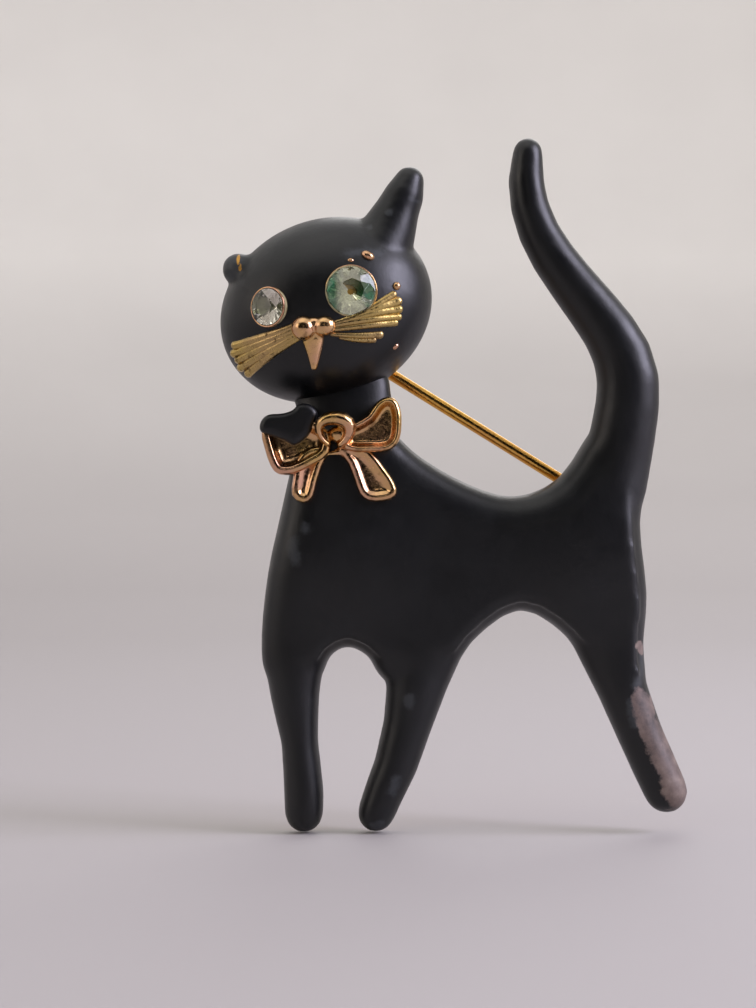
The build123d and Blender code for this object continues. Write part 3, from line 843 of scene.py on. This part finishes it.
def nearness(x, z, stroke):
    """1 on a stroke's line (x, z, x, z, radius), 0 at its radius, less than 0 beyond."""
    x1, z1, x2, z2, radius = stroke
    run_x, run_z = x2 - x1, z2 - z1
    t = ((x - x1) * run_x + (z - z1) * run_z) / (run_x ** 2 + run_z ** 2)
    t = max(0.0, min(1.0, t))
    return 1 - math.hypot(x - x1 - run_x * t, z - z1 - run_z * t) / radius


def paint(piece, name, marks):
    """Stores on the mesh how near each point is to a list of strokes.
    Wide strokes run round the edge of the cat, small ones stay on its front."""
    values = piece.data.attributes.new(name, "FLOAT", "POINT")
    found = []
    for vertex in piece.data.vertices:
        x = (vertex.co.x - ACROSS) / MM
        z = (vertex.co.z - PAWS) / MM
        frontal = max(0.0, min(1.0, -2 * vertex.normal.y))
        best = 0.0
        for stroke in marks:
            share = 1.0 if stroke[-1] > WRAPPING_STROKE else frontal
            best = max(best, nearness(x, z, stroke) * share)
        found.append(best)
    values.data.foreach_set("value", found)


RUBBED = [(15.9, 11.6, 16.6, 9.4, 1.6), (17.0, 8.8, 18.2, 6.0, 2.0), (18.9, 5.4, 19.9, 2.4, 2.6),
          (16.1, 15.7, 15.8, 16.2, 0.6), (16.6, 18.2, 16.5, 19.2, 0.4)]
SCUFFED = [(-14.0, 23.6, -14.0, 25.1, 1.1), (-13.0, 26.3, -13.0, 26.7, 0.9), (-4.1, 11.2, -4.0, 11.5, 0.9),
           (-5.5, 3.6, -5.3, 4.6, 1.0), (-7.0, 0.6, -6.7, 0.8, 0.9), (15.6, 12.6, 16.2, 15.2, 0.9),
           (14.9, 11.4, 15.4, 9.4, 0.8)]
BARE = [(11.2, 41.8, 11.9, 40.4, 0.34)]
HEAD_BARE = [(-18.85, 49.9, -18.6, 48.5, 0.2)]
HEAD_SCUFFED = [(-19.6, 49.6, -19.0, 48.2, 1.6), (-5.8, 53.4, -5.7, 53.5, 0.7),
                (-7.4, 52.1, -7.4, 52.2, 0.6), (-4.0, 54.7, -3.2, 54.5, 0.4),
                (-9.3, 49.6, -6.6, 49.9, 1.0)]

# ---- Make the pieces ----
# Plating: name, gold, where it turns rose, tarnish, roughness from and to, ripple in mm, and how
# much tarnish.
ENAMEL = enamel_material()
GOLD = plating("gold_plating_on_polished_casting", "#d6b26a", "#d3a488", "#5a3a28",
               0.14, 0.28, 1.1, 0.7)
BACK_GOLD = plating("gold_plating_on_rough_cast_back", "#c9a05c", "#b98f5c", "#6d5130",
                    0.26, 0.42, 0.9, 0.6)
WIRE = plating("gold_plating_on_drawn_wire", "#e3b257", "#dca65a", "#7a5226",
               0.14, 0.26, 0.8, 0.35)
SOLDER = plating("gold_plating_on_soft_solder", "#bfa16b", "#ad9064", "#675236",
                 0.32, 0.5, 0.5, 0.5)
FOIL = plating("silver_green_foil_backing_pressed", "#b9bda4", "#6f7a5c", "#262d1e",
               0.08, 0.2, 0.45, 0.9)
WHISKER_GOLD = plating("gold_plating_on_engraved_lines", "#bda364", "#b4976c", "#3f2e1c",
                       0.22, 0.38, 0.7, 0.9)
# Each stone's crown is split at the line given here into a deep side and a painted pale reflection of its
# foil.
PALE_GLASS = glass("pale_green_glass_cut_polished", "#e9e4d6", "#a39c8e",
                   girdle(LEFT_EYE), 1.6 * MM)
GREEN_GLASS = glass("green_glass_cut_polished", "#cdd1b8", "#064628",
                    girdle(RIGHT_EYE) + Vector((-0.95, -0.1, 0)) * MM, 1.1 * MM)
CEMENT = cement_material()

COAT = 0.1
COAT_EDGE = 0.3              # height above the back where the enamel stops
CORE_GRAIN = 0.26
CORE_SHRINKAGE = 0.15        # how far the casting lies under the enamel's outside
CUP_CLEARANCE = 0.06
CUP_DEPTH = 1.5
BARE_RING = 0.14
BARE_DEPTH = 2.4


def ring_cutters(margin, depth):
    """Cutters for both eyes."""
    return [eye_cutter(LEFT_EYE, margin, depth), eye_cutter(RIGHT_EYE, margin, depth)]


def finished(piece, finish, nodes=(), degrees=None):
    """Shades a piece, gives it its finish and hangs it on the brooch."""
    smooth_shaded(piece, degrees)
    piece.data.materials.clear()
    piece.data.materials.append(finish)
    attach(piece, HOLDER)
    if nodes:
        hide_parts(*nodes)
    return piece


body = body_form()
head = head_form()

# Casting, seen from behind and wherever the enamel stops.
core = joined("core", [modify(copied(form, "core_half"), "DISPLACE",
                              strength=-CORE_SHRINKAGE * MM, mid_level=0.0)
                       for form in (body, head)])
melted(core, CORE_GRAIN, 1)
sawn_flat(core)
bored(core, ring_cutters(CUP_CLEARANCE, CUP_DEPTH))

BODY_HOLLOW = [(-13.3, 24.6), (-12.0, 28.0), (-8.9, 29.6), (-4.0, 28.4), (1.0, 27.4), (5.9, 27.1),
               (8.6, 25.6), (8.7, 23.0), (6.6, 21.3), (3.0, 21.0), (-1.0, 20.5), (-5.0, 20.0),
               (-8.5, 20.0), (-11.8, 21.3)]
HEAD_HOLLOW = [(-17.6, 47.2), (-16.4, 50.2), (-13.4, 51.4), (-10.4, 50.2), (-9.2, 47.2),
               (-10.4, 44.2), (-13.4, 43.0), (-16.4, 44.2)]
BODY_HOLLOW_DEPTH = 2.1
HEAD_HOLLOW_DEPTH = 2.6
HOLLOW_CORNER = ((0.25, 0.3), (0.35, 0.2))   # in, forwards


def hollow(name, points, depth):
    """Cutter for a recess in the back, with a rounded floor."""
    piece = slab(name, points, -1.0, depth - sum(rise for _, rise in HOLLOW_CORNER), 4)
    for thickness, rise in HOLLOW_CORNER:
        step_in(thickness, rise)
    settle(piece)
    return outward(piece)


bored(core, [hollow("body_hollow", BODY_HOLLOW, BODY_HOLLOW_DEPTH),
             hollow("head_hollow", HEAD_HOLLOW, HEAD_HOLLOW_DEPTH)])
finished(core, BACK_GOLD, ["cat_casting"], 40)
core.name = core.data.name = "casting"


def coat(form, name, marks):
    """Enamel coat: the front of a form, given a thickness and its wear."""
    piece = cut_open(copied(form, name), COAT_EDGE)
    modify(piece, "SOLIDIFY", thickness=COAT * MM, offset=-1.0)
    for kind, strokes in zip(("rubbed", "scuffed", "bare"), marks):
        paint(piece, kind, strokes)
    return piece


finished(coat(body, "enamel_on_body", (RUBBED, SCUFFED, BARE)), ENAMEL,
         ["enamel_body"])
bored(head, ring_cutters(BARE_RING, BARE_DEPTH))
finished(coat(head, "enamel_on_head", ([], HEAD_SCUFFED, HEAD_BARE)), ENAMEL,
         ["enamel_head"], 50)
for form in (body, head):
    bpy.data.objects.remove(form)

for side, eye, tint, slot in (("left", LEFT_EYE, PALE_GLASS, "pale_green_glass"),
                              ("right", RIGHT_EYE, GREEN_GLASS, "green_glass")):
    cut = stone("eye_stone_cut_" + side, eye)
    cut.data.materials.append(tint)
    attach(cut, HOLDER)
    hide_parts("eye_stone_" + side)
    finished(collar("eye_collar_" + side, eye), GOLD)

for group, strands in (("left", LEFT_STRANDS), ("right", RIGHT_STRANDS), ("low", LOW_STRANDS)):
    made = [strand("strand", *whisker) for whisker in strands]
    finished(joined("whiskers_" + group, made), WHISKER_GOLD)

# Lashes and a stray end of whisker: place, half width, half height, lift off the face, lean.
NUBS = {"lash_top": (-7.6, 49.5, 0.62, 0.42, 0.1, 25), "lash_small": (-9.05, 49.05, 0.3, 0.2, 0.08, 0),
        "lash_outer": (-5.15, 46.95, 0.36, 0.36, 0.2, 0),
        "whisker_bit": (-5.3, 41.9, 0.4, 0.25, 0.02, -30)}
for name, shape in NUBS.items():
    finished(nub(name, *shape), GOLD)
finished(nose(), GOLD)

# Ribbons of the bow: outline, front, width of the rim, and how deep the face inside it lies.
RIBBONS = {"bow_loop_left": (LEFT_LOOP, LOOP_FRONT, 0.7, 0.9),
           "bow_loop_right": (RIGHT_LOOP, LOOP_FRONT, 0.34, 1.0),
           "bow_end_left": (LEFT_END, END_FRONT, 0.5, 0.35),
           "bow_end_right": (RIGHT_END, END_FRONT, 0.5, 0.35)}
for name, shape in RIBBONS.items():
    finished(ribbon(name, *shape), GOLD)
finished(knot(), GOLD)
finished(lap(), ENAMEL)

FINISHES = {"hinge_base": WIRE, "hinge_rivet": WIRE, "catch_body": WIRE, "catch_rotor": WIRE,
            "pin_stem": WIRE, "hinge_solder": SOLDER, "catch_solder": SOLDER,
            "eye_foil_left": FOIL, "eye_foil_right": FOIL,
            "eye_cement_left": CEMENT, "eye_cement_right": CEMENT}
for name, finish in FINISHES.items():
    shown = frame["nodes"][name].data
    shown.materials.clear()
    shown.materials.append(finish)

# ---- Camera ----
VIEW_HEIGHT = 86.9           # height of what the camera sees at the brooch
LENS = 85.0
SENSOR = 36.0
clear()
camera_data = bpy.data.cameras.new("camera")
camera = bpy.data.objects.new("camera", camera_data)
bpy.context.scene.collection.objects.link(camera)
camera_data.lens = LENS
camera_data.sensor_width = SENSOR
camera_data.clip_start = 0.01
camera.location = at(-6.72, 28.36, 3.0) + Vector((0, -VIEW_HEIGHT * MM * LENS / SENSOR, 0))
camera.rotation_euler = (math.radians(90), 0, 0)
bpy.context.scene.camera = camera

# ---- Floor and light ----
FLOOR_GAP = 0.0002
FLOOR_RADIUS = 0.30
SWEEP = ((0.42, 0.006), (0.54, 0.03), (0.64, 0.08), (0.71, 0.15), (0.76, 0.25), (0.79, 0.4),
         (0.80, 0.6))        # radius and height of each ring of the wall
# Painted shade: the floor is darker than the wall, fading up over this height.
PAINTED_FLOOR_SHADE_RISE = 0.12          # the board is a little darker on the floor than up the wall


def board_material():
    """Pale matte board, with painted shade that makes the floor darker than the wall."""
    made, tree, shader = material("matte_board_with_painted_floor_shade", Roughness=0.75)
    spot = node(tree, "TexCoord").outputs["Object"]
    cloud = node(tree, "TexNoise", {"Vector": spot, "Scale": per_metre(60), "Detail": 3.0})
    wall = node(tree, "ValToRGB", {"Fac": cloud.outputs["Fac"]},
                [(0.3, colour("#e6e3de")), (0.7, colour("#ebe8e3"))]).outputs["Color"]
    height = node(tree, "SeparateXYZ", {"Vector": spot}).outputs["Z"]
    share = node(tree, "MapRange", {"Value": height, "From Min": PAWS,
                                    "From Max": PAWS + PAINTED_FLOOR_SHADE_RISE}).outputs["Result"]
    # Painted shade: below the wall the floor is mixed to a darker grey, standing in for shadow over the
    # floor.
    tint = node(tree, "Mix", {"Factor": share, "A": colour("#a7a2a2"), "B": wall},
                data_type="RGBA").outputs["Result"]
    tree.links.new(tint, shader.inputs["Base Color"])
    return made


def dish():
    """Seamless pale floor that sweeps up into a wall all round."""
    clear()
    centre = Vector((ACROSS, 0, PAWS - FLOOR_GAP))
    bpy.ops.mesh.primitive_circle_add(vertices=96, radius=FLOOR_RADIUS, fill_type="NGON",
                                      location=centre)
    floor = begin("floor")
    reach, height = FLOOR_RADIUS, 0.0
    for wider, higher in SWEEP:
        bpy.ops.mesh.select_mode(type="EDGE")
        bpy.ops.mesh.select_all(action="SELECT")
        bpy.ops.mesh.region_to_loop()
        bpy.ops.mesh.extrude_edges_move(TRANSFORM_OT_translate={"value": (0, 0, higher - height)})
        ratio = wider / reach
        bpy.ops.transform.resize(value=(ratio, ratio, 1),
                                 center_override=centre + Vector((0, 0, higher)))
        reach, height = wider, higher
    settle(floor)
    smooth_shaded(floor)
    floor.data.materials.append(board_material())
    return floor


dish()


def softbox(name, place, size, power, tint, target):
    """Square soft light that faces a target."""
    data = bpy.data.lights.new(name, "AREA")
    data.shape = "SQUARE"
    data.size = size
    data.energy = power
    data.color = colour(tint)[:3]
    lamp = bpy.data.objects.new(name, data)
    bpy.context.scene.collection.objects.link(lamp)
    lamp.location = place
    lamp.rotation_euler = (target - lamp.location).to_track_quat("-Z", "Y").to_euler()
    return lamp


middle = (cad_low + cad_high) / 2
# Lights: place, size, power and colour.
LIGHTS = {"key_right": ((0.38, -0.10, 0.20), 0.26, 2.3, "#e9e6ff"),
          "top": ((-0.08, -0.10, 0.42), 0.30, 0.12, "#fffaf2"),
          "left_fill": ((-0.42, -0.20, 0.16), 0.24, 0.2, "#fff1e2"),
          "behind": ((0.10, 0.42, 0.30), 0.30, 0.5, "#ffffff"),
          "near_window": ((-0.03, -0.32, 0.09), 0.025, 0.009, "#fff6ea")}
for name, (place, size, power, tint) in LIGHTS.items():
    softbox(name, Vector(place), size, power, tint, middle)


def dark_card(place, size, target):
    """Black felt board that only reflections see, as the dark side of a small studio."""
    clear()
    bpy.ops.mesh.primitive_plane_add(size=size, location=place)
    card = begin("dark_card")
    settle(card)
    turned = (target - place).to_track_quat("Z", "Y").to_matrix().to_4x4()
    card.matrix_world = Matrix.Translation(place) @ turned @ Matrix.Translation(-place)
    settle(card)
    made, _, shader = material("black_felt", Roughness=1.0)
    shader.inputs["Base Color"].default_value = colour("#050505")
    shader.inputs["Specular IOR Level"].default_value = 0.0
    card.data.materials.append(made)
    for sight in ("camera", "diffuse", "shadow", "transmission"):
        setattr(card, "visible_" + sight, False)


dark_card(Vector((-0.02, -0.34, 0.0)), 0.78, middle)
bpy.context.scene.view_settings.view_transform = "Standard"

world = bpy.data.worlds.new("room")
bpy.context.scene.world = world
world.use_nodes = True
room = world.node_tree.nodes["Background"]
room.inputs["Color"].default_value = colour("#e6e4e2")
room.inputs["Strength"].default_value = 1.06
